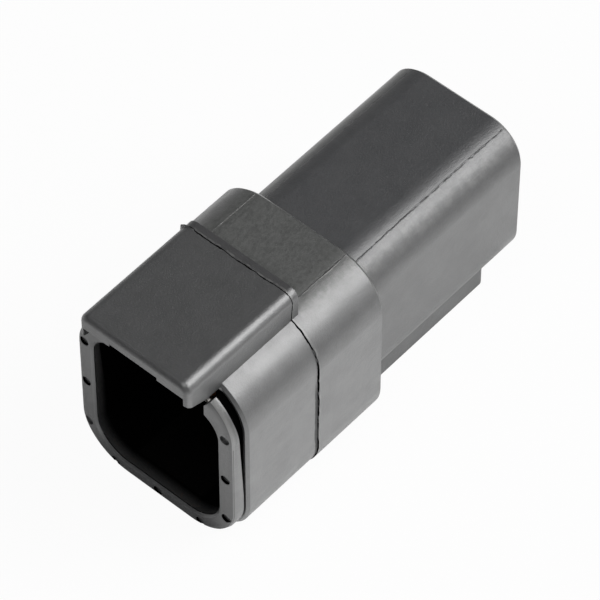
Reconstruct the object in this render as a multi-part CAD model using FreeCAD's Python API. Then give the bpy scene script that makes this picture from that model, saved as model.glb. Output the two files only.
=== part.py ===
import FreeCAD, Part
import math
import os

# Six-way sealed pin connector, receptacle half.
# Millimetres. +X right, +Y towards the wire end, +Z up. The mouth faces -Y.
# The housing lies on its underside, with the latch hood on top.
# "Station" means the distance behind the hood's front edge.

# Lengths along the connector
HOOD_OVERHANG = 2.65        # hood front to rim face
RIM_DEPTH = 1.55            # rim face to the groove behind it, low down
RIM_DEPTH_TOP = 0.93        # the same beside the hood, where the groove is wider
RIM_TAPER_LOW = 8.0         # heights between which it widens
RIM_TAPER_HIGH = 20.0
SHOULDER_DEPTH = 1.85       # rim face to the front section
SEAM_STATION = 14.8         # moulding seam round the housing
HOOD_TAIL = 0.95            # hood behind the seam
STEP_STATION = 24.45        # front section ends, wire section begins
REAR_LENGTH = 23.95         # wire section

# Front section, a rounded tube
FRONT_WIDTH = 20.8
FRONT_HEIGHT = 23.25
FRONT_CORNER = 5.8
MID_SWELL = 0.12            # extra half width behind the seam
RIM_INSET = 0.3             # rim lies this far inside the front section
RIM_CORNER = 5.9
RIM_EDGE = 0.6
GROOVE_DEPTH = 0.45         # below the rim
SHOULDER_EDGE = 0.3
STEP_EDGE = 0.3

# Mouth
MOUTH_WIDTH = 16.2
MOUTH_FLOOR = 2.1           # height of the mouth's lower wall
MOUTH_ROOF = 3.75           # thickness of its upper wall
MOUTH_CORNER = 4.0
MOUTH_TOP_CORNER = 2.8
MOUTH_LEAD = 0.25
SOCKET_DEPTH = 18.35        # rim face to the contact block

# Latch hood
HOOD_WIDTH = 14.0
HOOD_RISE = 3.05            # above the front section
HOOD_WALL = 0.6
HOOD_ROOF = 1.85
HOOD_EDGE = 1.15
HOOD_FRONT_EDGE = 0.7
CHEEK_FRONT_DROP = 3.1      # hood top to the cheek's lower edge at the front
CHEEK_BACK_DROP = 3.95      # the same beside the rim
CHEEK_NOSE = 0.2
CATCH_STATION = 9.2
CATCH_LENGTH = 1.3
CATCH_DEPTH = 1.0
CHANNEL_WIDTH = 6.1
CHANNEL_DEPTH = 0.4
LATCH_SPACE_END = 14.6      # station of the hood's closed end
RIM_GAP_WIDTH = 13.1        # gap in the rim's top
RIM_GAP_DROP = 2.35         # front section's top to where the gap's ends lean out
RIM_GAP_SLOPE = 34.5        # degrees that they lean

# Moulding marks on the rim face, small flat-bottomed recesses, round but for their many sides
MARK_RADIUS = 0.57
MARK_DEPTH = 0.3
MARK_SIDES = 12
SIDE_MARK_PITCH = 6.38
SIDE_MARK_LOW = 4.85
BASE_MARK_PITCH = 5.65

# Wire section and its clip rails
REAR_WIDTH = 16.65
REAR_FLOOR = 2.55
REAR_DROP = 1.8             # front section's top to the wire section's
REAR_CORNER = 4.25
REAR_WALL = 1.25
END_EDGE = 0.35
RAIL_WIDTH = 13.3
RAIL_LENGTH = 20.7
RAIL_LIP = 1.6
RAIL_LIP_HEIGHT = 1.0
RAIL_WEB = 0.9
RAIL_END_EDGE = 0.7

# Contact cavities: two rows of three
COLUMNS = 3
ROWS = 2
COLUMN_PITCH = 4.2
ROW_PITCH = 6.4
ROWS_DROP = 0.1             # wire section's middle to the middle between the rows
NECK_LENGTH = 2.6           # narrow front of each cavity
CORE_WIDTH = 11.6           # weight-saving pockets above and below the rows
CORE_WALL = 0.9             # between a pocket and the cavities
CORE_SKIN = 1.15            # least wall outside a pocket
CORE_DEPTH = 9.5

# Locking fingers, moulded in the block beside a central slot
SLOT_HEIGHT = 2.2
SLOT_WIDTH = 12.4
SLOT_DEPTH = 7.6
FINGER_WIDTH = 2.3
FINGER_THICKNESS = 0.75
FINGER_SIDE_GAP = 0.35
FINGER_TIP_GAP = 0.3
FINGER_ROOM = 4.9           # from the contact's flange back to the finger's root
BARB_LENGTH = 1.5

# Pin contacts
PIN_RADIUS = 0.5
PIN_TIP_STATION = 10.0
PIN_TIP_EDGE = 0.2
NOSE_RADIUS = 0.8
NOSE_LENGTH = 4.5
FLANGE_RADIUS = 1.18
FLANGE_LENGTH = 0.9
BARREL_RADIUS = 0.9
BARREL_LENGTH = 9.0
CRIMP_RADIUS = 0.62
CRIMP_DEPTH = 5.6
CONTACT_CLEARANCE = 0.06    # round the nose in its neck
FLANGE_CLEARANCE = 0.12     # round the flange in its cavity
END_PLAY = 0.05             # flange to its stop and to the finger

# Wedge lock
WEDGE_WIDTH = 13.4
WEDGE_TOP_GAP = 1.1         # wedge plate to the mouth's upper wall
WEDGE_CORNER = 1.2
WEDGE_PLATE = 1.6
WEDGE_SEAT_GAP = 0.1
TONGUE_CLEARANCE = 0.05
TONGUE_LENGTH = 7.2
TONGUE_LEAD = 1.3
HOLE_CLEARANCE = 0.15
NOTCH_WIDTH = 3.4
NOTCH_HEIGHT = 1.2
NOTCH_DEPTH = 1.1

# Wire seal
WIRE_ROOM = 1.55            # bare wire between contact and seal
SEAL_RECESS = 0.7           # behind the housing's end
SEAL_FIT = 0.02
PASSAGE_RADIUS = 0.7

LENGTH = STEP_STATION + REAR_LENGTH
HOOD_TOP = FRONT_HEIGHT + HOOD_RISE
REAR_TOP = FRONT_HEIGHT - REAR_DROP
REAR_HEIGHT = REAR_TOP - REAR_FLOOR
MOUTH_HEIGHT = FRONT_HEIGHT - MOUTH_ROOF - MOUTH_FLOOR
MOUTH_TOP = MOUTH_FLOOR + MOUTH_HEIGHT
ROWS_HEIGHT = REAR_FLOOR + REAR_HEIGHT / 2 - ROWS_DROP
WEDGE_HEIGHT = 2 * (MOUTH_TOP - WEDGE_TOP_GAP - ROWS_HEIGHT)
SHOULDER = HOOD_OVERHANG + SHOULDER_DEPTH
SOCKET_END = HOOD_OVERHANG + SOCKET_DEPTH
CHAMBER_WIDTH = REAR_WIDTH - 2 * REAR_WALL
CHAMBER_HEIGHT = REAR_HEIGHT - 2 * REAR_WALL
CHAMBER_FLOOR = REAR_FLOOR + REAR_WALL
CHAMBER_CORNER = REAR_CORNER - REAR_WALL
CAVITY_RADIUS = FLANGE_RADIUS + FLANGE_CLEARANCE
FLANGE_STATION = SOCKET_END + NECK_LENGTH + END_PLAY
FLANGE_END = FLANGE_STATION + FLANGE_LENGTH
BARREL_END = FLANGE_END + BARREL_LENGTH
SEAL_START = BARREL_END + WIRE_ROOM
SEAL_END = LENGTH - SEAL_RECESS
BLOCK_END = SEAL_START      # the seal stands on the contact block
BIG = 60.0


def y_at(station):
    """Y of a station behind the hood's front edge."""
    return station - LENGTH / 2


def grid():
    """Centres (x, z, side) of the contacts; side is +1 for the upper row."""
    for row in range(ROWS):
        side = 2 * row - 1
        for column in range(COLUMNS):
            x = (column - (COLUMNS - 1) / 2) * COLUMN_PITCH
            yield x, ROWS_HEIGHT + side * ROW_PITCH / 2, side


def rounded_wire(width, low, height, corner, station, top_corner=None):
    """Rounded rectangle across the connector at one station."""
    half = width / 2
    high = low + height
    y = y_at(station)
    top = top_corner or corner
    turns = [(half - top, high - top, top), (top - half, high - top, top),
             (corner - half, low + corner, corner), (half - corner, low + corner, corner)]
    edges = []
    for index, (cx, cz, radius) in enumerate(turns):
        start, middle, end = [
            FreeCAD.Vector(cx + radius * math.cos(angle), y, cz + radius * math.sin(angle))
            for angle in (math.radians(90 * index + turn) for turn in (0, 45, 90))]
        if edges:
            edges.append(Part.LineSegment(edges[-1].Vertexes[-1].Point, start).toShape())
        edges.append(Part.Arc(start, middle, end).toShape())
    edges.append(Part.LineSegment(edges[-1].Vertexes[-1].Point, edges[0].Vertexes[0].Point).toShape())
    return Part.Wire(edges)


def tube_core(width, low, height, corner, start, end, top_corner=None):
    """Solid rounded bar between two stations."""
    face = Part.Face(rounded_wire(width, low, height, corner, start, top_corner))
    return face.extrude(FreeCAD.Vector(0, end - start, 0))


def box(x_low, x_high, start, end, z_low, z_high):
    corner = FreeCAD.Vector(x_low, y_at(start), z_low)
    return Part.makeBox(x_high - x_low, end - start, z_high - z_low, corner)


def rod(x, z, radius, start, end):
    """Cylinder along the connector."""
    return Part.makeCylinder(radius, end - start, FreeCAD.Vector(x, y_at(start), z),
                             FreeCAD.Vector(0, 1, 0))


def side_profile(points, x_low, x_high):
    """Straight-sided block from (station, z) points, seen from the side."""
    corners = [FreeCAD.Vector(x_low, y_at(station), z) for station, z in points]
    face = Part.Face(Part.makePolygon(corners + corners[:1]))
    return face.extrude(FreeCAD.Vector(x_high - x_low, 0, 0))


def end_profile(points, start, end):
    """Straight-sided bar from (x, z) points, seen from the end."""
    corners = [FreeCAD.Vector(x, y_at(start), z) for x, z in points]
    face = Part.Face(Part.makePolygon(corners + corners[:1]))
    return face.extrude(FreeCAD.Vector(0, end - start, 0))


def turned(points, x, z):
    """Body of revolution about the line (x, z), from (station, radius) points."""
    corners = [FreeCAD.Vector(x + radius, y_at(station), z) for station, radius in points]
    face = Part.Face(Part.makePolygon(corners + corners[:1]))
    axis_point = FreeCAD.Vector(x, 0, z)
    return face.revolve(axis_point, FreeCAD.Vector(0, 1, 0), 360)


def edges_at(shape, station):
    """Edges that lie wholly at one station."""
    y = y_at(station)
    return [edge for edge in shape.Edges
            if abs(edge.BoundBox.YMin - y) < 1e-6 and abs(edge.BoundBox.YMax - y) < 1e-6]


def front_section(start, end, swell=0.0):
    """Rounded bar of the front section, wider by swell on each side."""
    return tube_core(FRONT_WIDTH + 2 * swell, 0, FRONT_HEIGHT, FRONT_CORNER, start, end)


def rear_section(start, end):
    return tube_core(REAR_WIDTH, REAR_FLOOR, REAR_HEIGHT, REAR_CORNER, start, end)


def hood_outside():
    """Hood with its open cheeks in front of the shoulder."""
    bar = box(-HOOD_WIDTH / 2, HOOD_WIDTH / 2, 0, SEAM_STATION + HOOD_TAIL, FRONT_HEIGHT / 2, HOOD_TOP)
    top_edges = [edge for edge in bar.Edges
                 if edge.BoundBox.ZMin > HOOD_TOP - 1e-6 and edge.BoundBox.YLength > 1e-3]
    bar = bar.makeFillet(HOOD_EDGE, top_edges)
    rounded = bar.makeFillet(HOOD_FRONT_EDGE, edges_at(bar, 0))
    low = FRONT_HEIGHT / 2 - 1
    front = HOOD_TOP - CHEEK_FRONT_DROP
    back = HOOD_TOP - CHEEK_BACK_DROP
    below = side_profile([(-1, low), (-1, front + CHEEK_NOSE), (0, front + CHEEK_NOSE),
                          (CHEEK_NOSE, front), (HOOD_OVERHANG, back), (SHOULDER, back),
                          (SHOULDER, low)], -BIG / 2, BIG / 2)
    return rounded.cut(below)


def rim():
    """Rim round the mouth, softened in front and open at the top where the latch passes."""
    start = HOOD_OVERHANG
    width = FRONT_WIDTH - 2 * RIM_INSET
    height = FRONT_HEIGHT - 2 * RIM_INSET
    wires = []
    for turn in (0, 45, 90):
        inset = RIM_EDGE * (1 - math.sin(math.radians(turn)))
        depth = RIM_EDGE * (1 - math.cos(math.radians(turn)))
        wires.append(rounded_wire(width - 2 * inset, RIM_INSET + inset, height - 2 * inset,
                                  RIM_CORNER - inset, start + depth))
    lip = Part.makeLoft(wires, True, True)
    lip = lip.fuse(tube_core(width, RIM_INSET, height, RIM_CORNER, start + RIM_EDGE, SHOULDER))
    groove = side_profile([(start + RIM_DEPTH, -1), (start + RIM_DEPTH, RIM_TAPER_LOW),
                           (start + RIM_DEPTH_TOP, RIM_TAPER_HIGH),
                           (start + RIM_DEPTH_TOP, HOOD_TOP), (SHOULDER, HOOD_TOP),
                           (SHOULDER, -1)], -BIG / 2, BIG / 2)
    neck_inset = RIM_INSET + GROOVE_DEPTH
    neck = tube_core(FRONT_WIDTH - 2 * neck_inset, neck_inset, FRONT_HEIGHT - 2 * neck_inset,
                     RIM_CORNER - GROOVE_DEPTH, start + RIM_EDGE, SHOULDER)
    inner = RIM_GAP_WIDTH / 2
    foot = MOUTH_TOP - MOUTH_TOP_CORNER / 2
    knee = FRONT_HEIGHT - RIM_GAP_DROP
    reach = HOOD_TOP - knee
    outer = inner + reach * math.tan(math.radians(RIM_GAP_SLOPE))
    gap = end_profile([(-inner, foot), (inner, foot), (inner, knee), (outer, knee + reach),
                       (-outer, knee + reach), (-inner, knee)], start - 1, SHOULDER)
    return lip.cut(groove).fuse(neck).cut(gap)


def mouth_space():
    """Space inside the socket, with its lead-in."""
    space = tube_core(MOUTH_WIDTH, MOUTH_FLOOR, MOUTH_HEIGHT, MOUTH_CORNER, HOOD_OVERHANG,
                      SOCKET_END, MOUTH_TOP_CORNER)
    wide = rounded_wire(MOUTH_WIDTH + 2 * MOUTH_LEAD, MOUTH_FLOOR - MOUTH_LEAD,
                        MOUTH_HEIGHT + 2 * MOUTH_LEAD, MOUTH_CORNER + MOUTH_LEAD, HOOD_OVERHANG,
                        MOUTH_TOP_CORNER + MOUTH_LEAD)
    narrow = rounded_wire(MOUTH_WIDTH, MOUTH_FLOOR, MOUTH_HEIGHT, MOUTH_CORNER,
                          HOOD_OVERHANG + MOUTH_LEAD, MOUTH_TOP_CORNER)
    return space.fuse(Part.makeLoft([wide, narrow], True, True))


def latch_space():
    """Space under the hood, its channel and the catch that stays in it."""
    half = HOOD_WIDTH / 2 - HOOD_WALL
    roof = HOOD_TOP - HOOD_ROOF
    low = MOUTH_TOP - MOUTH_TOP_CORNER / 2
    space = box(-half, half, -1, LATCH_SPACE_END, low, roof)
    channel = box(-CHANNEL_WIDTH / 2, CHANNEL_WIDTH / 2, -1, CATCH_STATION, roof - 1,
                  roof + CHANNEL_DEPTH)
    catch = side_profile([(CATCH_STATION - CATCH_DEPTH, roof + CHANNEL_DEPTH),
                          (CATCH_STATION, roof - CATCH_DEPTH),
                          (CATCH_STATION + CATCH_LENGTH, roof - CATCH_DEPTH),
                          (CATCH_STATION + CATCH_LENGTH, roof + CHANNEL_DEPTH)],
                         -CHANNEL_WIDTH / 2, CHANNEL_WIDTH / 2)
    return space.fuse(channel).cut(catch)


def rim_marks():
    """Moulding marks, recessed into the rim face."""
    wall_middle = (FRONT_WIDTH / 2 - RIM_INSET + MOUTH_WIDTH / 2) / 2
    base_middle = (RIM_INSET + MOUTH_FLOOR) / 2
    places = [(side * wall_middle, SIDE_MARK_LOW + SIDE_MARK_PITCH * step)
              for side in (-1, 1) for step in range(3)]
    places += [(BASE_MARK_PITCH * step, base_middle) for step in (-1, 0, 1)]
    turns = [2 * math.pi * side / MARK_SIDES for side in range(MARK_SIDES)]
    return [end_profile([(x + MARK_RADIUS * math.cos(turn), z + MARK_RADIUS * math.sin(turn))
                         for turn in turns], HOOD_OVERHANG - 1, HOOD_OVERHANG + MARK_DEPTH)
            for x, z in places]


def clip_rails():
    """Pair of rails with inward lips, for a sliding mounting clip."""
    half = RAIL_WIDTH / 2
    top = REAR_FLOOR + REAR_WALL
    lip_inside = half - RAIL_WEB - RAIL_LIP
    start = STEP_STATION - 1
    end = STEP_STATION + RAIL_LENGTH
    rails = []
    for side in (-1, 1):
        points = [(side * half, 0), (side * half, top), (side * (half - RAIL_WEB), top),
                  (side * (half - RAIL_WEB), RAIL_LIP_HEIGHT), (side * lip_inside, RAIL_LIP_HEIGHT),
                  (side * lip_inside, 0)]
        bar = end_profile(points, start, end)
        upright = [edge for edge in edges_at(bar, end)
                   if abs(edge.BoundBox.Center.x - side * half) < 1e-6]
        rails.append(bar.makeFillet(RAIL_END_EDGE, upright))
    return rails


def contact_cavities():
    """Stepped bores, the central slot, the pockets round the fingers."""
    cuts = []
    for x, z, side in grid():
        cuts.append(rod(x, z, NOSE_RADIUS + CONTACT_CLEARANCE, SOCKET_END - 1, BLOCK_END))
        cuts.append(rod(x, z, CAVITY_RADIUS, SOCKET_END + NECK_LENGTH, BLOCK_END + 1))
        room = FINGER_WIDTH / 2 + FINGER_SIDE_GAP
        near = ROWS_HEIGHT + side * SLOT_HEIGHT / 2
        far = z - side * CAVITY_RADIUS / 2
        cuts.append(box(x - room, x + room, SOCKET_END + NECK_LENGTH, FLANGE_END + FINGER_ROOM,
                        min(near, far), max(near, far)))
    half = SLOT_WIDTH / 2
    cuts.append(box(-half, half, SOCKET_END - 1, SOCKET_END + SLOT_DEPTH,
                    ROWS_HEIGHT - SLOT_HEIGHT / 2, ROWS_HEIGHT + SLOT_HEIGHT / 2))
    return cuts


def core_pockets():
    """Pockets that keep the block's walls even."""
    near = ROW_PITCH / 2 + CAVITY_RADIUS + CORE_WALL
    far = min(ROWS_HEIGHT - REAR_FLOOR, REAR_TOP - ROWS_HEIGHT) - CORE_SKIN
    half = CORE_WIDTH / 2
    pockets = []
    for side in (-1, 1):
        ends = sorted((ROWS_HEIGHT + side * near, ROWS_HEIGHT + side * far))
        pockets.append(box(-half, half, SOCKET_END - 1, SOCKET_END + CORE_DEPTH, *ends))
    return pockets


def locking_fingers():
    """Spring fingers whose barbs stand behind the contact flanges."""
    fingers = []
    tip = FLANGE_END + END_PLAY
    root = FLANGE_END + FINGER_ROOM + 0.5
    for x, z, side in grid():
        inner = ROWS_HEIGHT + side * SLOT_HEIGHT / 2
        outer = inner + side * FINGER_THICKNESS
        barb = z - side * (BARREL_RADIUS + CONTACT_CLEARANCE)
        fingers.append(side_profile([(tip, inner), (tip, barb), (tip + FINGER_TIP_GAP, barb),
                                     (tip + BARB_LENGTH, outer), (root, outer), (root, inner)],
                                    x - FINGER_WIDTH / 2, x + FINGER_WIDTH / 2))
    return fingers


def seal_chamber():
    """Space for the wire seal, behind the contact block."""
    return tube_core(CHAMBER_WIDTH, CHAMBER_FLOOR, CHAMBER_HEIGHT, CHAMBER_CORNER, BLOCK_END,
                     LENGTH + 1)


def make_housing():
    front = front_section(SHOULDER, SEAM_STATION)
    front = front.makeChamfer(SHOULDER_EDGE, edges_at(front, SHOULDER))
    middle = front_section(SEAM_STATION, STEP_STATION, MID_SWELL)
    middle = middle.makeChamfer(STEP_EDGE, edges_at(middle, STEP_STATION))
    rear = rear_section(STEP_STATION - 1, LENGTH)
    rear = rear.makeChamfer(END_EDGE, edges_at(rear, LENGTH))
    outside = front.multiFuse([middle, rear, hood_outside(), rim()] + clip_rails())
    spaces = [mouth_space(), latch_space(), seal_chamber()]
    spaces += rim_marks() + contact_cavities() + core_pockets()
    return outside.cut(spaces).multiFuse(locking_fingers()).removeSplitter()


def make_contact(x, z):
    """Turned pin contact with its crimp barrel open at the back."""
    tip = PIN_TIP_STATION
    nose_front = FLANGE_STATION - NOSE_LENGTH
    crimp_start = BARREL_END - CRIMP_DEPTH
    return turned([(tip, 0), (tip, PIN_RADIUS - PIN_TIP_EDGE), (tip + PIN_TIP_EDGE, PIN_RADIUS),
                   (nose_front, PIN_RADIUS), (nose_front, NOSE_RADIUS),
                   (FLANGE_STATION, NOSE_RADIUS), (FLANGE_STATION, FLANGE_RADIUS),
                   (FLANGE_END, FLANGE_RADIUS), (FLANGE_END, BARREL_RADIUS),
                   (BARREL_END, BARREL_RADIUS), (BARREL_END, CRIMP_RADIUS),
                   (crimp_start, CRIMP_RADIUS), (crimp_start, 0)], x, z)


def make_wedge():
    """Wedge lock: a plate round the pins and a tongue between the fingers."""
    plate_end = SOCKET_END - WEDGE_SEAT_GAP
    plate_start = plate_end - WEDGE_PLATE
    plate = box(-WEDGE_WIDTH / 2, WEDGE_WIDTH / 2, plate_start, plate_end,
                ROWS_HEIGHT - WEDGE_HEIGHT / 2, ROWS_HEIGHT + WEDGE_HEIGHT / 2)
    long_edges = [edge for edge in plate.Edges if edge.BoundBox.YLength > WEDGE_PLATE / 2]
    plate = plate.makeChamfer(WEDGE_CORNER, long_edges)
    half = SLOT_HEIGHT / 2 - TONGUE_CLEARANCE
    thin = half / 2
    tongue_end = plate_end + TONGUE_LENGTH
    reach = SLOT_WIDTH / 2 - TONGUE_CLEARANCE
    tongue = side_profile([(plate_start + NOTCH_DEPTH / 2, ROWS_HEIGHT - half),
                           (tongue_end - TONGUE_LEAD, ROWS_HEIGHT - half),
                           (tongue_end, ROWS_HEIGHT - thin), (tongue_end, ROWS_HEIGHT + thin),
                           (tongue_end - TONGUE_LEAD, ROWS_HEIGHT + half),
                           (plate_start + NOTCH_DEPTH / 2, ROWS_HEIGHT + half)], -reach, reach)
    holes = [rod(x, z, NOSE_RADIUS + HOLE_CLEARANCE, plate_start - 1, plate_end + 1)
             for x, z, _ in grid()]
    notch = box(-NOTCH_WIDTH / 2, NOTCH_WIDTH / 2, plate_start - 1, plate_start + NOTCH_DEPTH,
                ROWS_HEIGHT - NOTCH_HEIGHT / 2, ROWS_HEIGHT + NOTCH_HEIGHT / 2)
    return plate.fuse(tongue).cut(holes + [notch]).removeSplitter()


def make_seal():
    """Soft wire seal: a block that fills its chamber, with one passage per contact."""
    block = tube_core(CHAMBER_WIDTH - 2 * SEAL_FIT, CHAMBER_FLOOR + SEAL_FIT,
                      CHAMBER_HEIGHT - 2 * SEAL_FIT, CHAMBER_CORNER - SEAL_FIT, SEAL_START, SEAL_END)
    return block.cut([rod(x, z, PASSAGE_RADIUS, SEAL_START - 1, SEAL_END + 1) for x, z, _ in grid()])


def save(name, shape):
    if not shape.isValid() or len(shape.Solids) != 1:
        raise ValueError(name + " is not one valid solid")
    shape.Solids[0].exportStep("parts/" + name + ".step")


os.makedirs("parts", exist_ok=True)
save("housing", make_housing())
save("wedge_lock", make_wedge())
save("wire_seal", make_seal())
for number, (pin_x, pin_z, _) in enumerate(grid(), 1):
    save("pin_contact_" + str(number), make_contact(pin_x, pin_z))
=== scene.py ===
import math
import random

import bmesh
import bpy
from mathutils import Matrix, Vector


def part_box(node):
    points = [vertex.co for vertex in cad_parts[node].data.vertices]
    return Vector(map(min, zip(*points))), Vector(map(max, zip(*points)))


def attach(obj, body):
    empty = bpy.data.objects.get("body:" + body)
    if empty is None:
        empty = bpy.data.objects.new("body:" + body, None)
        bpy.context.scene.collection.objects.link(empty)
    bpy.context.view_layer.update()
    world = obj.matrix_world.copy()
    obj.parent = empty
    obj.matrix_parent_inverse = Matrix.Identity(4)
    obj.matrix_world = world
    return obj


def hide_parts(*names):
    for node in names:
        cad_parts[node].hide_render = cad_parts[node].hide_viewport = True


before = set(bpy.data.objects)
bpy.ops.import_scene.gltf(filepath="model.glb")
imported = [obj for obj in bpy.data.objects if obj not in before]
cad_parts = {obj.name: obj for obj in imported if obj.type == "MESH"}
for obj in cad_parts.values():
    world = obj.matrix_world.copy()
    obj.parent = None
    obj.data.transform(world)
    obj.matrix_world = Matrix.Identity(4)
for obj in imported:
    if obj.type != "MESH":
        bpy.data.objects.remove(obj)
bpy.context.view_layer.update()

MM = 0.001
LENGTH = 48.4               # mm, hood front to wire end

# Stations, mm behind the hood's front
RIM_END_LOW = 4.2           # back of the rim, low down
RIM_END_TOP = 3.58          # the same beside the hood
SHOULDER = 4.5
SEAM = 14.8
HOOD_END = 15.75
STEP = 24.45

# Heights and half widths, mm
TOP_FRONT = 23.25
TOP_REAR = 21.45
HALF_FRONT = 10.52          # at the swell behind the seam
HALF_REAR = 8.325
CORNER_FRONT = 5.8
CORNER_REAR = 4.25
CORNER_MIDDLE = 4.6         # from the middle out to the middle of the front section's corners
LINE_FRONT = 5.8            # from the middle out to the parting lines
LINE_REAR = 5.95
GROOVE_RADIUS = (5.18, 5.30)    # from the corners' middle, where the groove's painted shade fades out

# Contact grid, mm
COLUMNS = (-4.2, 0.0, 4.2)
ROWS = (8.7, 15.1)

# Wire seal, mm
SEAL_CORNER = 1.73
SEAL_RIBS = 3
RIB_DEPTH = 0.42
COLLAR_HEIGHT = 0.45
PASSAGE_LIPS = 3
LIP_PITCH = 2.6

# Camera of the photograph, mm and degrees
CAMERA_LENS = 262.1
CAMERA_PLACE = (177.293, -202.931, 351.961)
CAMERA_TARGET = (0.881, -1.204, 13.0)
CAMERA_ROLL = -0.057

# Linear colours of the black plastic, with its painted highlights and painted shade
DARK_LOW, DARK_HIGH = (0.029, 0.030, 0.032), (0.042, 0.043, 0.044)
DARK_BLOTCH = (0.052, 0.053, 0.055)
WEAVE_LOW, WEAVE_HIGH = (0.024, 0.026, 0.024), (0.096, 0.100, 0.095)
BLUE_LOW, BLUE_HIGH = (0.025, 0.0265, 0.030), (0.034, 0.0355, 0.040)
BLUE_BLOTCH = (0.047, 0.048, 0.051)
GRAIN = (0.110, 0.112, 0.108)
SCUFF = (0.125, 0.125, 0.120)
BAND = (0.026, 0.026, 0.028)
STEP_HIGHLIGHT = (0.15, 0.15, 0.145)
RIM_HIGHLIGHT = (0.20, 0.20, 0.195)
PALE_MARK_AND_HIGHLIGHT = (0.17, 0.17, 0.165)
NO_LIGHT = (0.0015, 0.0015, 0.0015)


def at(x, station, z):
    """Point in metres from mm and a station."""
    return Vector((x, station - LENGTH / 2, z)) * MM


class Shader:
    """Writes the node tree of one material."""

    def __init__(self, name):
        self.material = bpy.data.materials.new(name)
        self.material.use_nodes = True
        self.tree = self.material.node_tree
        self.surface = self.tree.nodes["Principled BSDF"]
        self.output = self.tree.nodes["Material Output"]

    def put(self, socket, value):
        """Links a node's output to the socket, or writes a constant on it."""
        if isinstance(value, bpy.types.NodeSocket):
            self.tree.links.new(value, socket)
        else:
            socket.default_value = value

    def node(self, kind, output=0, settings=None, **inputs):
        """New node with its inputs set; i0, i1 and so on are inputs by number."""
        node = self.tree.nodes.new(kind)
        for key, value in (settings or {}).items():
            setattr(node, key, value)
        for key, value in inputs.items():
            self.put(node.inputs[int(key[1:]) if key[0] == "i" and key[1:].isdigit() else key], value)
        return node.outputs[output]

    def math(self, operation, a, b=0.0, clamp=False):
        return self.node("ShaderNodeMath", settings={"operation": operation, "use_clamp": clamp},
                         i0=a, i1=b)

    def place(self):
        """Object coordinates, and from them x, station and z in mm."""
        coordinates = self.node("ShaderNodeTexCoord", output="Object")
        parts = self.tree.nodes.new("ShaderNodeSeparateXYZ")
        self.tree.links.new(coordinates, parts.inputs[0])
        x, y, z = [self.math("MULTIPLY", output, 1 / MM) for output in parts.outputs]
        return coordinates, x, self.math("ADD", y, LENGTH / 2), z

    def stretched(self, vector, scale):
        return self.node("ShaderNodeVectorMath", settings={"operation": "MULTIPLY"}, i0=vector, i1=scale)

    def noise(self, vector, scale, detail=2.0, rough=0.5):
        return self.node("ShaderNodeTexNoise", Vector=vector, Scale=scale, Detail=detail,
                         Roughness=rough)

    def ramp(self, value, low, high, to_low=0.0, to_high=1.0):
        """Smooth change from to_low at low to to_high at high."""
        node = self.tree.nodes.new("ShaderNodeMapRange")
        node.interpolation_type = "SMOOTHSTEP"
        for index, entry in enumerate((value, low, high, to_low, to_high)):
            self.put(node.inputs[index], entry)
        return node.outputs[0]

    def between(self, value, low, high, soft):
        """1 between low and high, 0 outside."""
        rise = self.ramp(value, low - soft, low + soft)
        fall = self.ramp(value, high - soft, high + soft, 1.0, 0.0)
        return self.math("MULTIPLY", rise, fall)

    def mix(self, factor, a, b):
        return self.node("ShaderNodeMix", i0=factor, i2=a, i3=b)

    def tint(self, factor, a, b):
        return self.node("ShaderNodeMix", output=2, settings={"data_type": "RGBA"}, i0=factor,
                         i6=(*a, 1.0) if isinstance(a, tuple) else a,
                         i7=(*b, 1.0) if isinstance(b, tuple) else b)

    def bump(self, height, strength, distance, normal=None):
        inputs = {"Height": height, "Strength": strength, "Distance": distance}
        if normal is not None:
            inputs["Normal"] = normal
        return self.node("ShaderNodeBump", **inputs)

    def rounded_edges(self, radius):
        return self.node("ShaderNodeBevel", settings={"samples": 4}, Radius=radius)

    def finish(self, **inputs):
        for key, value in inputs.items():
            self.put(self.surface.inputs[key.replace("_", " ")], value)
        return self.material


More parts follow.
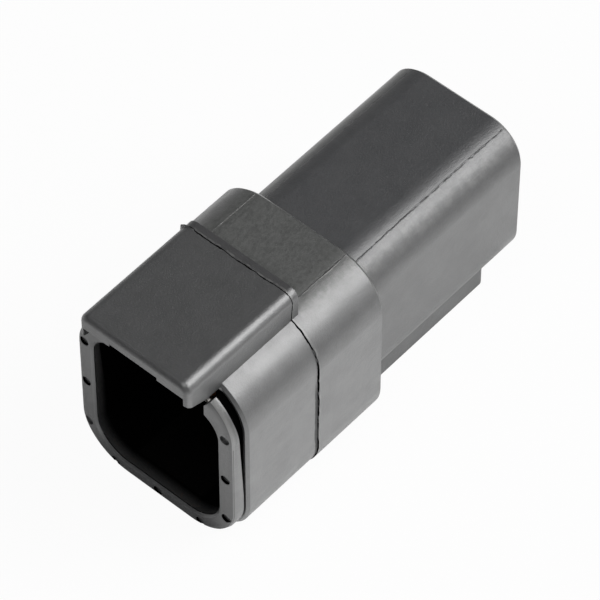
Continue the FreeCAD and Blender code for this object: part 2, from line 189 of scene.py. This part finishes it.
def housing_plastic():
    """Black moulded plastic: satin, mottled and grained, with flow streaks along the connector."""
    s = Shader("housing_plastic")
    place, x, station, z = s.place()
    wide = s.math("ABSOLUTE", x)
    normal = s.node("ShaderNodeTexCoord", output="Normal")
    facing = s.tree.nodes.new("ShaderNodeSeparateXYZ")
    s.tree.links.new(normal, facing.inputs[0])
    to_back, to_top = facing.outputs[1:]

    fine = s.noise(place, 5200.0, 3.0, 0.6)
    speck = s.noise(place, 8000.0, 2.0, 0.7)
    weave = s.ramp(s.noise(s.stretched(place, (2900.0, 1900.0, 2900.0)), 1.0, 5.0, 0.75), 0.28, 0.72)
    mottle = s.noise(place, 900.0, 3.0, 0.6)
    blotch = s.ramp(s.noise(place, 330.0, 4.0, 0.65), 0.30, 0.70)
    cloud = s.noise(place, 160.0, 2.0, 0.5)
    streak = s.noise(s.stretched(place, (1600.0, 70.0, 1600.0)), 1.0, 3.0, 0.6)
    broad = s.ramp(s.noise(s.stretched(place, (900.0, 60.0, 900.0)), 1.0, 3.0, 0.6), 0.3, 0.7)

    top = s.ramp(to_top, 0.75, 0.97)
    front = s.math("MULTIPLY", s.ramp(to_back, -0.9, -0.6, 1.0, 0.0),
                   s.ramp(station, 3.3, 3.5, 1.0, 0.0))
    middle = s.between(station, HOOD_END + 0.25, STEP - 0.1, 0.12)
    behind_seam = s.between(station, SEAM, STEP, 0.05)
    rear = s.ramp(station, STEP - 0.2, STEP + 0.2)
    band = s.math("MULTIPLY", s.between(station, SEAM, HOOD_END + 0.15, 0.08), top)

    # Painted shade: the depth of the mouth, the latch space, the groove and the walls of the marks are
    # painted black, where no light comes out
    mouth = s.math("MULTIPLY", s.ramp(wide, 8.2, 8.5, 1.0, 0.0), s.between(z, 2.0, 19.6, 0.12))
    mouth = s.math("MULTIPLY", mouth, s.ramp(station, 21.0, 21.8, 1.0, 0.0))
    mouth = s.math("MULTIPLY", mouth, s.ramp(station, 2.3, 4.4))
    latch = s.math("MULTIPLY", s.ramp(wide, 6.4, 6.6, 1.0, 0.0), s.between(z, 18.0, 25.0, 0.1))
    latch = s.math("MULTIPLY", latch, s.between(station, 0.9, 14.9, 0.3))
    rim_end = s.ramp(z, 8.0, 20.0, RIM_END_LOW, RIM_END_TOP)
    groove = s.math("MULTIPLY", s.ramp(s.math("SUBTRACT", station, rim_end), -0.01, 0.03),
                    s.ramp(station, SHOULDER + 0.01, SHOULDER + 0.05, 1.0, 0.0))
    low_or_wide = s.math("MAXIMUM", s.ramp(wide, 7.05, 7.2), s.ramp(z, 21.9, 22.1, 1.0, 0.0))
    groove = s.math("MULTIPLY", groove, low_or_wide)
    across = s.math("MAXIMUM", s.math("SUBTRACT", wide, CORNER_MIDDLE), 0.0)
    upward = s.math("ABSOLUTE", s.math("SUBTRACT", z, TOP_FRONT / 2))
    upward = s.math("MAXIMUM", s.math("SUBTRACT", upward, TOP_FRONT / 2 - CORNER_FRONT), 0.0)
    radius = s.math("SQRT", s.math("ADD", s.math("POWER", across, 2.0), s.math("POWER", upward, 2.0)))
    groove = s.math("MULTIPLY", groove, s.ramp(radius, *GROOVE_RADIUS, 1.0, 0.0))
    mark = s.math("MULTIPLY", s.between(station, 2.68, 3.0, 0.01), s.ramp(z, 18.4, 18.5, 1.0, 0.0))
    mark = s.math("MULTIPLY", mark, s.ramp(to_back, -0.4, -0.2))
    faint = s.math("MAXIMUM", s.math("MULTIPLY", s.between(z, 16.5, 18.5, 0.1), s.ramp(x, 0.0, 1.0)),
                   s.math("MULTIPLY", s.between(z, 3.9, 5.9, 0.1), s.ramp(x, -1.0, 0.0, 1.0, 0.0)))
    mark = s.math("MULTIPLY", mark, s.mix(faint, 1.0, 0.25))
    shade_inside = s.math("MAXIMUM", s.math("MAXIMUM", mouth, latch), s.math("MAXIMUM", groove, mark))

    # Seam line, a dark cut with a pale lip behind it and a duller strip low on the sides
    wander = s.math("MULTIPLY", s.math("SUBTRACT", s.noise(place, 330.0, 2.0, 0.5), 0.5), 0.6)
    shiver = s.math("MULTIPLY", s.math("SUBTRACT", s.noise(place, 2100.0, 3.0, 0.7), 0.5), 0.20)
    off_seam = s.math("ADD", s.math("SUBTRACT", station, SEAM), s.math("ADD", wander, shiver))
    cut = s.ramp(s.noise(place, 800.0, 2.0), 0.35, 0.65, 0.05, 0.11)
    cut = s.math("MULTIPLY", cut, s.ramp(z, 10.0, 17.0, 0.7, 1.0))
    seam = s.math("SUBTRACT", 1.0, s.math("DIVIDE", s.math("ABSOLUTE", off_seam), cut), clamp=True)
    seam = s.ramp(seam, 0.0, 0.45)
    lip = s.math("MULTIPLY", s.between(off_seam, 0.12, 0.26, 0.05),
                 s.ramp(s.noise(place, 1500.0, 2.0), 0.35, 0.6))
    strip = s.math("MULTIPLY", s.between(off_seam, -0.42, 0.0, 0.04),
                   s.math("MULTIPLY", s.ramp(z, 14.0, 17.0, 1.0, 0.0), s.ramp(wide, 9.0, 10.0)))

    # Witness lines of the moulding tool along both shoulders, the right ones dark with painted shade and
    # the left ones pale with a painted highlight
    ragged = s.math("MULTIPLY", s.math("SUBTRACT", s.noise(place, 1500.0, 3.0, 0.7), 0.5), 0.35)
    off_line = s.math("ADD", s.math("SUBTRACT", wide, s.mix(rear, LINE_FRONT, LINE_REAR)), ragged)
    along = s.math("MULTIPLY", s.ramp(station, HOOD_END, HOOD_END + 0.2), s.ramp(z, 15.0, 16.0))
    along = s.math("MULTIPLY", along, s.ramp(station, LENGTH - 0.9, LENGTH - 0.5, 1.0, 0.0))
    broken = s.ramp(s.noise(s.stretched(place, (300.0, 900.0, 300.0)), 1.0, 2.0), 0.34, 0.46, 0.25, 1.0)
    # Painted shade along the right lines
    shaded_line = s.math("MULTIPLY", s.between(off_line, -0.06, 0.04, 0.05), s.ramp(x, 0.0, 1.0))
    shaded_line = s.math("MULTIPLY", shaded_line, s.math("MULTIPLY", along, broken))
    burr = s.math("MULTIPLY", s.between(off_line, 0.06, 0.34, 0.09), s.ramp(mottle, 0.46, 0.58))
    burr = s.math("MULTIPLY", burr, s.math("MULTIPLY", along, s.ramp(x, 0.0, 1.0)))

    # Painted highlight: pale blotches beside the right lines
    highlight_blotch = s.math("MULTIPLY", s.between(off_line, 0.3, 1.7, 0.5), s.ramp(x, 0.0, 1.0))
    highlight_blotch = s.math("MULTIPLY", s.math("MULTIPLY", highlight_blotch, along), s.ramp(mottle, 0.40, 0.66))
    # Painted highlight along the left lines
    highlight_line = s.math("MULTIPLY", s.between(off_line, -0.08, 0.06, 0.05),
                       s.ramp(x, -1.0, 0.0, 1.0, 0.0))
    highlight_line = s.math("MULTIPLY", highlight_line, s.math("MULTIPLY", along, broken))

    # Open grain, scuffs, and a painted highlight on the step's edge
    grain = s.ramp(speck, 0.35, 0.75)
    scuff = s.ramp(s.noise(s.stretched(place, (1500.0, 800.0, 1500.0)), 1.0, 4.0, 0.7), 0.60, 0.74)
    step_highlight = s.math("MULTIPLY", s.between(station, STEP - 0.28, STEP - 0.06, 0.05), s.ramp(z, 20.0, 22.0))
    step_highlight = s.math("MULTIPLY", step_highlight, s.ramp(mottle, 0.38, 0.5))

    dark = s.tint(mottle, DARK_LOW, DARK_HIGH)
    dark = s.tint(s.math("MULTIPLY", blotch, 0.25), dark, DARK_BLOTCH)
    pale = s.tint(weave, WEAVE_LOW, WEAVE_HIGH)
    blue = s.tint(cloud, BLUE_LOW, BLUE_HIGH)
    blue = s.tint(s.math("MULTIPLY", blotch, 0.35), blue, BLUE_BLOTCH)
    colour = s.tint(s.math("MULTIPLY", middle, top), dark, pale)
    colour = s.tint(s.math("MULTIPLY", rear, top), colour, blue)
    colour = s.tint(s.math("MULTIPLY", grain, 0.26), colour, GRAIN)
    colour = s.tint(s.math("MULTIPLY", scuff, s.mix(middle, 0.22, 0.40)), colour, SCUFF)
    colour = s.tint(band, colour, BAND)
    colour = s.tint(s.math("MULTIPLY", step_highlight, 0.6), colour, STEP_HIGHLIGHT)
    # Painted highlight on the rim's outer slope on the right side, strongest high up
    rim_highlight = s.math("MULTIPLY", s.between(to_back, -0.85, -0.22, 0.08),
                       s.between(station, 2.6, 3.5, 0.1))
    rim_highlight = s.math("MULTIPLY", rim_highlight, s.ramp(z, 10.0, 17.0, 0.25, 1.0))
    rim_highlight = s.math("MULTIPLY", rim_highlight,
                       s.math("MULTIPLY", s.ramp(x, 6.9, 7.3), s.ramp(radius, 4.9, 5.2)))
    colour = s.tint(s.math("MULTIPLY", rim_highlight, 0.8), colour, RIM_HIGHLIGHT)
    # Pale seam lip and burrs, with the painted highlights of the left lines and the blotches
    pale_marks_and_highlights = s.math("MAXIMUM", s.math("MULTIPLY", lip, 0.7), s.math("MULTIPLY", burr, 0.45))
    pale_marks_and_highlights = s.math("MAXIMUM", pale_marks_and_highlights, s.math("MULTIPLY", highlight_line, 0.55))
    pale_marks_and_highlights = s.math("MAXIMUM", pale_marks_and_highlights, s.math("MULTIPLY", highlight_blotch, s.mix(rear, 0.65, 0.35)))
    colour = s.tint(pale_marks_and_highlights, colour, PALE_MARK_AND_HIGHLIGHT)
    # Dark seam cut, with the painted shade of the right lines
    dark_seam_and_shade = s.math("MAXIMUM", seam, s.math("MULTIPLY", shaded_line, 0.75))
    black = s.math("MAXIMUM", shade_inside, dark_seam_and_shade)
    colour = s.tint(black, colour, NO_LIGHT)

    rough = s.mix(broad, s.mix(mottle, 0.33, 0.40), s.mix(mottle, 0.39, 0.47))
    rough = s.mix(s.math("MULTIPLY", middle, top), rough, 0.55)
    rough = s.mix(s.math("MAXIMUM", scuff, burr), rough, 0.62)
    rough = s.mix(s.math("MULTIPLY", rear, 0.6), rough, 0.50)
    rough = s.mix(shade_inside, rough, 0.8)
    level = s.mix(front, 1.0, s.ramp(z, 1.0, 4.5, 0.15, 0.75))
    level = s.mix(strip, level, 0.45)
    level = s.mix(black, level, 0.0)
    coat = s.mix(behind_seam, s.mix(rear, 1.0, 0.70), 0.94)
    coat = s.math("MULTIPLY", coat, s.mix(blotch, 0.80, 1.0))
    coat = s.mix(front, coat, s.ramp(z, 1.0, 4.5, 0.03, 0.40))
    coat = s.mix(strip, coat, 0.05)
    coat = s.mix(black, coat, 0.0)

    edge = s.rounded_edges(0.00016)
    relief = s.bump(streak, 0.15, 0.00003, edge)
    relief = s.bump(mottle, 0.55, 0.00006, relief)
    relief = s.bump(fine, 1.0, 0.00006, relief)
    relief = s.bump(black, 0.5, -0.00005, relief)
    return s.finish(Base_Color=colour, Roughness=rough, Specular_IOR_Level=level,
                    Coat_Weight=coat, Coat_Roughness=0.36, Coat_IOR=2.0, Normal=relief)


def wedge_plastic():
    """Orange moulded plastic, satin, slightly uneven in colour."""
    s = Shader("wedge_plastic")
    place, _, station, _ = s.place()
    cloud = s.noise(place, 260.0, 3.0, 0.6)
    grain = s.noise(place, 4200.0, 2.0, 0.6)
    flow = s.noise(s.stretched(place, (1500.0, 1500.0, 260.0)), 1.0, 2.0)
    colour = s.tint(cloud, (0.70, 0.25, 0.040), (0.80, 0.31, 0.062))
    # Darker towards the back, deep in the housing
    deep = s.ramp(station, SEAM + 4.6, SEAM + 6.4)
    colour = s.tint(s.math("MULTIPLY", deep, 0.35), colour, (0.46, 0.13, 0.020))
    relief = s.bump(flow, 0.3, 0.00003, s.rounded_edges(0.00015))
    relief = s.bump(grain, 0.4, 0.00002, relief)
    return s.finish(Base_Color=colour, Roughness=s.mix(flow, 0.34, 0.48), Normal=relief,
                    Subsurface_Weight=0.08, Subsurface_Scale=0.0006)


def contact_metal():
    """Turned and plated contact: fine tool rings, a few dull patches."""
    s = Shader("contact_metal")
    place = s.node("ShaderNodeTexCoord", output="Object")
    ring = s.noise(s.stretched(place, (60.0, 16000.0, 60.0)), 1.0, 2.0, 0.6)
    dull = s.noise(place, 700.0, 3.0, 0.6)
    colour = s.tint(dull, (0.66, 0.64, 0.60), (0.77, 0.75, 0.71))
    rough = s.mix(ring, 0.20, 0.32)
    rough = s.mix(s.ramp(dull, 0.5, 0.75), rough, 0.45)
    relief = s.bump(ring, 0.35, 0.00001, s.rounded_edges(0.00006))
    return s.finish(Base_Color=colour, Metallic=1.0, Roughness=rough, Normal=relief)


def seal_silicone():
    """Soft rust-coloured silicone, faintly waxy."""
    s = Shader("seal_silicone")
    place = s.node("ShaderNodeTexCoord", output="Object")
    cloud = s.noise(place, 300.0, 3.0, 0.6)
    skin = s.noise(place, 3600.0, 3.0, 0.65)
    colour = s.tint(cloud, (0.37, 0.125, 0.058), (0.47, 0.175, 0.085))
    dust = s.ramp(s.noise(place, 2100.0, 4.0, 0.7), 0.62, 0.8)
    colour = s.tint(s.math("MULTIPLY", dust, 0.4), colour, (0.58, 0.36, 0.27))
    return s.finish(Base_Color=colour, Roughness=s.mix(skin, 0.42, 0.60), Subsurface_Weight=0.15,
                    Subsurface_Scale=0.0008, Normal=s.bump(skin, 0.35, 0.00002))


def paint(name, material):
    """The CAD node takes this material in every slot."""
    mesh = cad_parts[name].data
    for index in range(max(1, len(mesh.materials))):
        if index < len(mesh.materials):
            mesh.materials[index] = material
        else:
            mesh.materials.append(material)


def smooth_by_angle():
    """Modifier that joins the facets of curved faces and keeps real edges sharp."""
    group = bpy.data.node_groups.new("smooth_faces", "GeometryNodeTree")
    group.interface.new_socket("Geometry", in_out="INPUT", socket_type="NodeSocketGeometry")
    group.interface.new_socket("Geometry", in_out="OUTPUT", socket_type="NodeSocketGeometry")
    nodes, links = group.nodes, group.links
    start, end = nodes.new("NodeGroupInput"), nodes.new("NodeGroupOutput")
    weld = nodes.new("GeometryNodeMergeByDistance")
    weld.inputs["Distance"].default_value = 1e-7
    soft = nodes.new("GeometryNodeSetShadeSmooth")
    soft.domain = "FACE"
    hard = nodes.new("GeometryNodeSetShadeSmooth")
    hard.domain = "EDGE"
    hard.inputs["Shade Smooth"].default_value = False
    angle = nodes.new("GeometryNodeInputMeshEdgeAngle")
    over = nodes.new("FunctionNodeCompare")
    over.data_type = "FLOAT"
    over.operation = "GREATER_THAN"
    over.inputs["B"].default_value = math.radians(32)
    links.new(start.outputs[0], weld.inputs[0])
    links.new(weld.outputs[0], soft.inputs["Geometry"])
    links.new(soft.outputs[0], hard.inputs["Geometry"])
    links.new(angle.outputs["Unsigned Angle"], over.inputs["A"])
    links.new(over.outputs[0], hard.inputs["Selection"])
    links.new(hard.outputs[0], end.inputs[0])
    return group


def new_piece(name, mesh_data, material, body):
    """Smooth-shaded object of the scene that rides on a body."""
    mesh = bpy.data.meshes.new(name)
    mesh_data.normal_update()
    mesh_data.to_mesh(mesh)
    mesh_data.free()
    for polygon in mesh.polygons:
        polygon.use_smooth = True
    mesh.materials.append(material)
    piece = bpy.data.objects.new(name, mesh)
    bpy.context.scene.collection.objects.link(piece)
    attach(piece, body)
    return piece


def sweep(mesh, sections, closed=False):
    """Skins a list of equally long rings or rows of points."""
    rows = [[mesh.verts.new(point) for point in section] for section in sections]
    for first, second in zip(rows, rows[1:]):
        count = len(first)
        for index in range(count if closed else count - 1):
            after = (index + 1) % count
            mesh.faces.new((first[index], first[after], second[after], second[index]))
    return rows


def rounded_ring(half_width, half_height, corner, middle, station, steps=8):
    """Points of a rounded rectangle across the connector."""
    points = []
    for quarter, (sx, sz) in enumerate(((1, 1), (-1, 1), (-1, -1), (1, -1))):
        for step in range(steps + 1):
            turn = math.radians(90 * (quarter + step / steps))
            points.append(at(sx * (half_width - corner) + corner * math.cos(turn), station,
                             middle + sz * (half_height - corner) + corner * math.sin(turn)))
    return points


def circle(x, z, radius, station, steps=32):
    """Points of a circle across the connector."""
    return [at(x + radius * math.cos(2 * math.pi * step / steps), station,
               z + radius * math.sin(2 * math.pi * step / steps)) for step in range(steps)]


def wire_seal(material):
    """Ribbed silicone seal with six lipped passages, each in a raised collar."""
    low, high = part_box("wire_seal")
    middle = (low.z + high.z) / 2 / MM
    half_width = (high.x - low.x) / 2 / MM
    half_height = (high.z - low.z) / 2 / MM
    start = low.y / MM + LENGTH / 2
    end = high.y / MM + LENGTH / 2
    face = end - COLLAR_HEIGHT
    mesh = bmesh.new()

    # Outside, soft ribs with a waist on either side of each
    outline = []
    stations = 60
    for step in range(stations + 1):
        share = step / stations
        station = start + 0.35 + (face - 0.35 - start - 0.35) * share
        wave = 0.5 - 0.5 * math.cos(2 * math.pi * SEAL_RIBS * share)
        outline.append((station, RIB_DEPTH * (1 - wave)))
    outline = [(start, 0.75), (start + 0.15, 0.5)] + outline + [(face - 0.12, 0.5), (face, 0.7)]
    rings = sweep(mesh, [rounded_ring(half_width - inset, half_height - inset, SEAL_CORNER, middle,
                                      station) for station, inset in outline], closed=True)

    # Passages, from the raised collar at the back to the front face
    loops = {"back": [], "front": []}
    for z in ROWS:
        for x in COLUMNS:
            profile = [(face, 1.62), (face + 0.06, 1.52), (end - 0.12, 1.44), (end - 0.03, 1.38),
                       (end, 1.28), (end - 0.02, 1.16), (end - 0.1, 1.08), (end - 0.5, 0.86),
                       (end - 0.9, 0.74)]
            for lip in range(PASSAGE_LIPS):
                base = end - 1.3 - LIP_PITCH * lip
                profile += [(base, 0.72), (base - 0.5, 0.66), (base - 0.8, 0.56), (base - 1.1, 0.66),
                            (base - 1.6, 0.74)]
            profile += [(start + 1.0, 0.78), (start + 0.2, 0.9), (start, 1.02)]
            rows = sweep(mesh, [circle(x, z, radius, station) for station, radius in profile],
                         closed=True)
            loops["back"].append(rows[0])
            loops["front"].append(rows[-1])

    # End faces
    for outer, inner in ((rings[-1], loops["back"]), (rings[0], loops["front"])):
        edges = []
        for loop in [outer] + inner:
            for first, second in zip(loop, loop[1:] + loop[:1]):
                edges.append(mesh.edges.get((first, second)))
        bmesh.ops.triangle_fill(mesh, edges=[edge for edge in edges if edge], use_beauty=True)
    bmesh.ops.recalc_face_normals(mesh, faces=mesh.faces)
    piece = new_piece("wire_seal_ribbed", mesh, material, "receptacle")
    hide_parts("wire_seal")


def surface_point(half_width, top, corner, turn, lift, station):
    """Point just over a rounded section; turn is measured from straight up, in degrees."""
    angle = math.radians(turn)
    radius = corner + lift
    side = 1 if turn >= 0 else -1
    return at(side * (half_width - corner) + radius * math.sin(angle), station,
              top - corner + radius * math.cos(angle))


def parting_line(name, half_width, top, corner, x, start, end, height, seed, material):
    """Low, slightly broken witness ridge along a rounded shoulder."""
    chance = random.Random(seed)
    turn = math.degrees(math.asin((abs(x) - half_width + corner) / corner)) * (1 if x > 0 else -1)
    steps = int((end - start) / 0.12)
    drift = chance.uniform(-0.05, 0.05)
    mesh = bmesh.new()
    sections = []
    for step in range(steps + 1):
        station = start + (end - start) * step / steps
        drift = max(-0.12, min(0.12, drift + chance.uniform(-0.03, 0.03)))
        rise = height * chance.uniform(0.35, 1.0)
        if step in (0, steps):
            rise = 0.004
        centre = turn + math.degrees(drift / corner)
        reach = math.degrees(chance.uniform(0.05, 0.085) / corner)
        sections.append([surface_point(half_width, top, corner, centre - reach, -0.02, station),
                         surface_point(half_width, top, corner, centre - reach * 0.35, rise, station),
                         surface_point(half_width, top, corner, centre + reach * 0.35, rise, station),
                         surface_point(half_width, top, corner, centre + reach, -0.02, station)])
    sweep(mesh, sections)
    bmesh.ops.recalc_face_normals(mesh, faces=mesh.faces)
    new_piece(name, mesh, material, "receptacle")


def seam_flash(material):
    """Thin torn flap of plastic that stands out of the seam at the hood's left edge."""
    # Along the hood's edge: x, z and how far the flap stands out
    outline = [(-7.0, 23.5, 0.02), (-7.0, 24.3, 0.14), (-7.0, 25.0, 0.30), (-6.9, 25.6, 0.38),
               (-6.55, 26.05, 0.22), (-5.9, 26.28, 0.10), (-5.2, 26.3, 0.02)]
    centre_x, centre_z = -5.8, 25.0
    mesh = bmesh.new()
    sections = []
    for x, z, reach in outline:
        away = Vector((x - centre_x, 0.0, z - centre_z)).normalized()
        foot = Vector((x, 0.0, z)) - away * 0.12
        tip = Vector((x, 0.0, z)) + away * reach
        sections.append([at(foot.x, SEAM - 0.11, foot.z), at(tip.x, SEAM - 0.05, tip.z),
                         at(tip.x, SEAM + 0.02, tip.z), at(foot.x, SEAM + 0.06, foot.z)])
    sweep(mesh, sections, closed=True)
    mesh.verts.ensure_lookup_table()
    for ends in (mesh.verts[:4], mesh.verts[-4:]):
        mesh.faces.new(ends)
    bmesh.ops.recalc_face_normals(mesh, faces=mesh.faces)
    new_piece("seam_flash_left", mesh, material, "receptacle")


def white_floor():
    """Round floor with a low curved rim, so that every view ends in white."""
    flat, bend, sides = 1.2, 0.3, 96
    mesh = bmesh.new()
    profile = [(0.0005, 0.0), (0.05, 0.0), (0.2, 0.0), (0.6, 0.0), (flat, 0.0)]
    profile += [(flat + bend * math.sin(math.radians(turn)), bend - bend * math.cos(math.radians(turn)))
                for turn in range(10, 91, 10)]
    rows = [[Vector((radius * math.cos(2 * math.pi * step / sides),
                     radius * math.sin(2 * math.pi * step / sides), height))
             for step in range(sides)] for radius, height in profile]
    made = sweep(mesh, rows, closed=True)
    mesh.faces.new(made[0])
    bmesh.ops.recalc_face_normals(mesh, faces=mesh.faces)
    s = Shader("floor_white")
    s.tree.nodes.remove(s.surface)
    place = s.node("ShaderNodeTexCoord", output="Object")
    spot = s.tree.nodes.new("ShaderNodeSeparateXYZ")
    s.tree.links.new(place, spot.inputs[0])
    seen = s.node("ShaderNodeLightPath", output="Is Camera Ray")
    mirrored = s.node("ShaderNodeLightPath", output="Is Glossy Ray")
    through = s.node("ShaderNodeLightPath", output="Is Transmission Ray")
    # In the object's own reflections the floor is dim close in front of it, white beside and
    # behind it, and fades further out
    ahead = s.ramp(spot.outputs[1], -0.0235, -0.031, 0.15, 1.0)
    ahead = s.math("MULTIPLY", ahead, s.ramp(spot.outputs[0], -0.018, -0.004, 0.6, 1.0))
    beside = s.ramp(spot.outputs[0], 0.0095, 0.0125)
    bright = s.math("MAXIMUM", s.math("MAXIMUM", ahead, beside), s.ramp(spot.outputs[1], 0.024, 0.026))
    share = s.math("MULTIPLY", s.math("MAXIMUM", seen, through), 0.95)
    share = s.math("MAXIMUM", share, s.math("MULTIPLY", mirrored, bright))
    paper = s.node("ShaderNodeBsdfDiffuse", Color=(0.9, 0.9, 0.9, 1.0))
    reach = s.node("ShaderNodeVectorMath", output="Value", settings={"operation": "LENGTH"}, i0=place)
    glow = s.node("ShaderNodeEmission", Color=(1.0, 1.0, 1.0, 1.0),
                  Strength=s.mix(mirrored, 1.0, s.ramp(reach, 0.045, 0.11, 1.0, 0.42)))
    s.tree.links.new(s.node("ShaderNodeMixShader", i0=share, i1=paper, i2=glow), s.output.inputs[0])
    data = bpy.data.meshes.new("floor")
    mesh.to_mesh(data)
    mesh.free()
    for polygon in data.polygons:
        polygon.use_smooth = True
    data.materials.append(s.material)
    floor = bpy.data.objects.new("floor", data)
    bpy.context.scene.collection.objects.link(floor)


def shade_the_room(tree):
    """The room is dimmer in front of the object than behind it."""
    direction = tree.nodes.new("ShaderNodeTexCoord")
    parts = tree.nodes.new("ShaderNodeSeparateXYZ")
    share = tree.nodes.new("ShaderNodeMapRange")
    share.interpolation_type = "SMOOTHSTEP"
    for index, value in enumerate((-0.45, 0.35, 0.07, 0.17), 1):
        share.inputs[index].default_value = value
    tree.links.new(direction.outputs["Generated"], parts.inputs[0])
    tree.links.new(parts.outputs["Y"], share.inputs[0])
    tree.links.new(share.outputs[0], tree.nodes["Background"].inputs["Color"])


def softbox(name, direction, distance, size, radiance):
    """Square lamp that looks at the object; radiance is its brightness as seen."""
    direction = Vector(direction).normalized()
    lamp = bpy.data.lights.new(name, "AREA")
    lamp.shape = "SQUARE"
    lamp.size = size
    lamp.energy = radiance * math.pi * size * size
    item = bpy.data.objects.new(name, lamp)
    item.location = direction * distance + Vector((0, 0, 0.013))
    item.rotation_mode = "QUATERNION"
    item.rotation_quaternion = direction.to_track_quat("Z", "Y")
    bpy.context.scene.collection.objects.link(item)


def photo_camera():
    """Camera of the photograph: seen from in front, above and to the right."""
    camera = bpy.data.cameras.new("camera")
    camera.sensor_width = 36.0
    camera.lens = CAMERA_LENS
    camera.clip_start, camera.clip_end = 0.01, 10.0
    item = bpy.data.objects.new("camera", camera)
    place = Vector(CAMERA_PLACE) * MM
    forward = (Vector(CAMERA_TARGET) * MM - place).normalized()
    right = forward.cross(Vector((0, 0, 1))).normalized()
    up = right.cross(forward)
    roll = math.radians(CAMERA_ROLL)
    across = right * math.cos(roll) - up * math.sin(roll)
    upward = right * math.sin(roll) + up * math.cos(roll)
    turn = Matrix((across, upward, -forward)).transposed().to_4x4()
    item.matrix_world = Matrix.Translation(place) @ turn
    bpy.context.scene.collection.objects.link(item)
    bpy.context.scene.camera = item


bpy.context.scene.view_settings.view_transform = "Standard"
world = bpy.data.worlds.new("studio")
bpy.context.scene.world = world
world.use_nodes = True
shade_the_room(world.node_tree)

black = housing_plastic()
paint("housing", black)
paint("wedge_lock", wedge_plastic())
metal = contact_metal()
for number in range(1, 7):
    paint("pin_contact_" + str(number), metal)
softening = smooth_by_angle()
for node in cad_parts.values():
    node.modifiers.new("smooth_faces", "NODES").node_group = softening
    weighted = node.modifiers.new("face_weights", "WEIGHTED_NORMAL")
    weighted.keep_sharp = True

wire_seal(seal_silicone())
for side in (-1, 1):
    word = "right" if side > 0 else "left"
    parting_line("parting_line_front_" + word, HALF_FRONT, TOP_FRONT, CORNER_FRONT, side * LINE_FRONT,
                 start=HOOD_END + 0.02, end=STEP - 0.32, height=0.035, seed=11 + side, material=black)
    parting_line("parting_line_rear_" + word, HALF_REAR, TOP_REAR, CORNER_REAR, side * LINE_REAR,
                 start=STEP + 0.02, end=LENGTH - 0.36, height=0.04, seed=21 + side, material=black)

seam_flash(black)
white_floor()
softbox("key", (0.53, 0.467, 0.71), distance=0.9, size=0.62, radiance=3.95)
softbox("low", (0.80, 0.467, 0.38), distance=1.1, size=0.8, radiance=0.85)
softbox("fill", (0.2, -0.45, 0.87), distance=1.0, size=0.7, radiance=1.7)
photo_camera()
